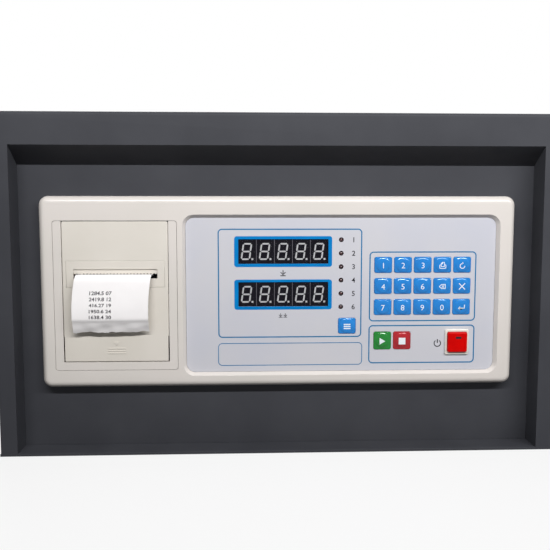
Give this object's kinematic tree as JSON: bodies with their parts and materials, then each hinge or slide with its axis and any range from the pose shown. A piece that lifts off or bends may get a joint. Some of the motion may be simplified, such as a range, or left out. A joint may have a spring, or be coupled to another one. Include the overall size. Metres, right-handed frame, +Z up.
{
  "type": "compression testing machine console",
  "caption": "Digital force-measuring console of a compression testing machine: recessed steel housing, membrane keypad, two numeric displays, power switch and receipt printer.",
  "frame": {"origin": "middle of the footprint, on the surface that the console is bolted to", "axes": "+Z up, +X to the operator's right, -Y towards the operator"},
  "size_m": [0.42, 0.18, 0.255],
  "materials": {
    "housing_paint": "satin powder coat, dark grey",
    "bezel_plastic": "fine moulded texture, cream",
    "door_plastic": "fine moulded texture, warm cream",
    "overlay_film": "satin printed film, pale grey",
    "window_film": "clear glossy film",
    "digit_housing": "black glossy face",
    "digit_light_pipe": "unlit grey resin",
    "lamp_resin": "dark red resin, unlit",
    "key_blue": "glossy embossed film, blue",
    "key_green": "glossy embossed film, green",
    "key_red": "glossy embossed film, red",
    "switch_plastic": "moulded, off-white",
    "button_red": "moulded, bright red",
    "steel_screw": "zinc plated",
    "plated_sheet": "galvanised sheet",
    "plate_aluminium": "rolled",
    "board_laminate": "green solder mask",
    "component_resin": "black moulded",
    "transformer_iron": "varnished laminations",
    "gear_acetal": "natural acetal",
    "motor_can": "plated can",
    "head_ceramic": "heat sink with glazed strip",
    "platen_rubber": "ground rubber",
    "paper": "coated thermal paper",
    "grommet_rubber": "moulded"
  },
  "bodies": {
    "console": {"backing_plate": "plate_aluminium", "base_plate": "housing_paint", "bezel": "bezel_plastic", "board_components": "component_resin", "board_standoffs": "steel_screw", "cable_grommet": "grommet_rubber", "case_screws": "steel_screw", "clamp_screws": "steel_screw", "console_shell": "housing_paint", "cover_screws": "steel_screw", "digit_segments": "digit_light_pipe", "display_windows": "window_film", "fascia_panel": "housing_paint", "fascia_screws": "steel_screw", "force_digits": "digit_housing", "instrument_case": "plated_sheet", "keypad_board": "board_laminate", "main_board": "board_laminate", "mains_transformer": "transformer_iron", "overlay": "overlay_film", "panel_clamps": "plated_sheet", "paper_web": "paper", "print_head": "head_ceramic", "printer_frame": "bezel_plastic", "printer_motor": "motor_can", "rate_digits": "digit_housing", "rear_cover": "housing_paint", "roll_spindle": "gear_acetal", "status_lamps": "lamp_resin", "switch_body": "switch_plastic", "tact_switches": "component_resin"},
    "printer_door": {"printer_door": "door_plastic", "paper_exit": "door_plastic", "paper_strip": "paper"},
    "platen": {"platen_roller": "platen_rubber", "platen_shaft": "steel_screw", "platen_gear": "gear_acetal"},
    "idler": {"idler_gear": "gear_acetal"},
    "pinion": {"motor_pinion": "steel_screw"},
    "paper_roll": {"paper_roll": "paper"},
    "power_button": {"power_button": "button_red"},
    "key_0": {"key_0": "key_blue"},
    "key_1": {"key_1": "key_blue"},
    "key_2": {"key_2": "key_blue"},
    "key_3": {"key_3": "key_blue"},
    "key_4": {"key_4": "key_blue"},
    "key_5": {"key_5": "key_blue"},
    "key_6": {"key_6": "key_blue"},
    "key_7": {"key_7": "key_blue"},
    "key_8": {"key_8": "key_blue"},
    "key_9": {"key_9": "key_blue"},
    "key_clear": {"key_clear": "key_blue"},
    "key_delete": {"key_delete": "key_blue"},
    "key_enter": {"key_enter": "key_blue"},
    "key_function": {"key_function": "key_blue"},
    "key_print": {"key_print": "key_blue"},
    "key_reset": {"key_reset": "key_blue"},
    "key_run": {"key_run": "key_green"},
    "key_stop": {"key_stop": "key_red"}
  },
  "joints": [
    {"name": "door_tilt", "type": "hinge", "parent": "console", "child": "printer_door", "pos_m": [-0.1235, -0.0763, 0.0889], "axis": [1, 0, 0], "range_deg": [0, 75]},
    {"name": "platen_spin", "type": "hinge", "parent": "printer_door", "child": "platen", "pos_m": [-0.1235, -0.066, 0.128], "axis": [1, 0, 0], "continuous": true},
    {"name": "idler_spin", "type": "hinge", "parent": "console", "child": "idler", "pos_m": [-0.161, -0.05667, 0.13733], "axis": [1, 0, 0], "continuous": true},
    {"name": "pinion_spin", "type": "hinge", "parent": "console", "child": "pinion", "pos_m": [-0.161, -0.05067, 0.14773], "axis": [1, 0, 0], "continuous": true},
    {"name": "roll_spin", "type": "hinge", "parent": "console", "child": "paper_roll", "pos_m": [-0.1235, -0.04145, 0.098], "axis": [1, 0, 0], "continuous": true},
    {"name": "power_press", "type": "slide", "parent": "console", "child": "power_button", "axis": [0, 1, 0], "range_m": [0, 0.003], "stiffness_N_per_m": 600},
    {"name": "0_press", "type": "slide", "parent": "console", "child": "key_0", "axis": [0, 1, 0], "range_m": [0, 0.0005], "stiffness_N_per_m": 2000},
    {"name": "1_press", "type": "slide", "parent": "console", "child": "key_1", "axis": [0, 1, 0], "range_m": [0, 0.0005], "stiffness_N_per_m": 2000},
    {"name": "2_press", "type": "slide", "parent": "console", "child": "key_2", "axis": [0, 1, 0], "range_m": [0, 0.0005], "stiffness_N_per_m": 2000},
    {"name": "3_press", "type": "slide", "parent": "console", "child": "key_3", "axis": [0, 1, 0], "range_m": [0, 0.0005], "stiffness_N_per_m": 2000},
    {"name": "4_press", "type": "slide", "parent": "console", "child": "key_4", "axis": [0, 1, 0], "range_m": [0, 0.0005], "stiffness_N_per_m": 2000},
    {"name": "5_press", "type": "slide", "parent": "console", "child": "key_5", "axis": [0, 1, 0], "range_m": [0, 0.0005], "stiffness_N_per_m": 2000},
    {"name": "6_press", "type": "slide", "parent": "console", "child": "key_6", "axis": [0, 1, 0], "range_m": [0, 0.0005], "stiffness_N_per_m": 2000},
    {"name": "7_press", "type": "slide", "parent": "console", "child": "key_7", "axis": [0, 1, 0], "range_m": [0, 0.0005], "stiffness_N_per_m": 2000},
    {"name": "8_press", "type": "slide", "parent": "console", "child": "key_8", "axis": [0, 1, 0], "range_m": [0, 0.0005], "stiffness_N_per_m": 2000},
    {"name": "9_press", "type": "slide", "parent": "console", "child": "key_9", "axis": [0, 1, 0], "range_m": [0, 0.0005], "stiffness_N_per_m": 2000},
    {"name": "clear_press", "type": "slide", "parent": "console", "child": "key_clear", "axis": [0, 1, 0], "range_m": [0, 0.0005], "stiffness_N_per_m": 2000},
    {"name": "delete_press", "type": "slide", "parent": "console", "child": "key_delete", "axis": [0, 1, 0], "range_m": [0, 0.0005], "stiffness_N_per_m": 2000},
    {"name": "enter_press", "type": "slide", "parent": "console", "child": "key_enter", "axis": [0, 1, 0], "range_m": [0, 0.0005], "stiffness_N_per_m": 2000},
    {"name": "function_press", "type": "slide", "parent": "console", "child": "key_function", "axis": [0, 1, 0], "range_m": [0, 0.0005], "stiffness_N_per_m": 2000},
    {"name": "print_press", "type": "slide", "parent": "console", "child": "key_print", "axis": [0, 1, 0], "range_m": [0, 0.0005], "stiffness_N_per_m": 2000},
    {"name": "reset_press", "type": "slide", "parent": "console", "child": "key_reset", "axis": [0, 1, 0], "range_m": [0, 0.0005], "stiffness_N_per_m": 2000},
    {"name": "run_press", "type": "slide", "parent": "console", "child": "key_run", "axis": [0, 1, 0], "range_m": [0, 0.0005], "stiffness_N_per_m": 2000},
    {"name": "stop_press", "type": "slide", "parent": "console", "child": "key_stop", "axis": [0, 1, 0], "range_m": [0, 0.0005], "stiffness_N_per_m": 2000}
  ],
  "couplings": [
    {"joint": "idler_spin", "follows": "platen_spin", "ratio": -0.83333},
    {"joint": "pinion_spin", "follows": "platen_spin", "ratio": 1.25},
    {"joint": "roll_spin", "follows": "platen_spin", "ratio": -0.27763}
  ]
}
